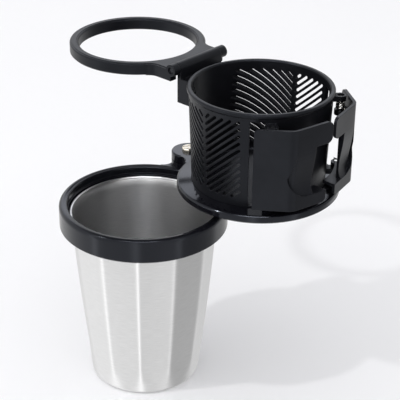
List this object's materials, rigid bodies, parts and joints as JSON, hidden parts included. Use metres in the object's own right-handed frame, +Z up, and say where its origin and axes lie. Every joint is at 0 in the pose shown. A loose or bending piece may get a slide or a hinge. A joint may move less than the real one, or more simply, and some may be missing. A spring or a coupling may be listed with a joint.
{
  "type": "car cup holder",
  "caption": "Steel cup in a black collar with a swivelling vented drink basket, a fold-over bottle ring and two sprung clamping wings.",
  "frame": {"origin": "centre of the steel cup's flat foot", "axes": "+Z up along the cup's axis, +X to the right and +Y away from the viewer of the picture"},
  "size_m": [0.163, 0.1632, 0.1809],
  "materials": {
    "brushed_steel": "brushed",
    "gloss_black": "gloss",
    "satin_black": "satin",
    "nickel": "satin plated"
  },
  "bodies": {
    "base": {"steel_cup": "brushed_steel", "collar": "gloss_black", "pivot_nut": "nickel", "pivot_screw": "nickel", "pivot_washer": "nickel"},
    "holder": {"base_disc": "gloss_black", "basket": "satin_black", "basket_screw_1": "nickel", "basket_screw_2": "nickel", "basket_screw_3": "nickel", "basket_screw_4": "nickel", "ring_pin": "nickel", "wing_pin_front_upper": "nickel", "wing_pin_front_lower": "nickel", "wing_pin_rear_upper": "nickel", "wing_pin_rear_lower": "nickel", "wing_spring_front": "nickel", "wing_spring_rear": "nickel"},
    "ring": {"flip_ring": "satin_black"},
    "front_wing": {"wing_front": "satin_black"},
    "rear_wing": {"wing_rear": "satin_black"}
  },
  "joints": [
    {"name": "holder_swivel", "type": "hinge", "parent": "base", "child": "holder", "pos_m": [0.02471, 0.04768, 0.1171], "axis": [0, 0, 1], "continuous": true},
    {"name": "ring_fold", "type": "hinge", "parent": "holder", "child": "ring", "pos_m": [0.02915, 0.04364, 0.1774], "axis": [0.673, 0.7396, 0], "range_deg": [0, 180]},
    {"name": "wing_front_swing", "type": "hinge", "parent": "holder", "child": "front_wing", "pos_m": [0.06877, -0.03195, 0.1475], "axis": [0, 0, -1], "range_deg": [0, 30], "stiffness_Nm_per_rad": 0.02, "springref_deg": -20.05},
    {"name": "wing_rear_swing", "type": "hinge", "parent": "holder", "child": "rear_wing", "pos_m": [0.10813, 0.01131, 0.1475], "axis": [0, 0, 1], "range_deg": [0, 30], "stiffness_Nm_per_rad": 0.02, "springref_deg": -20.05}
  ]
}
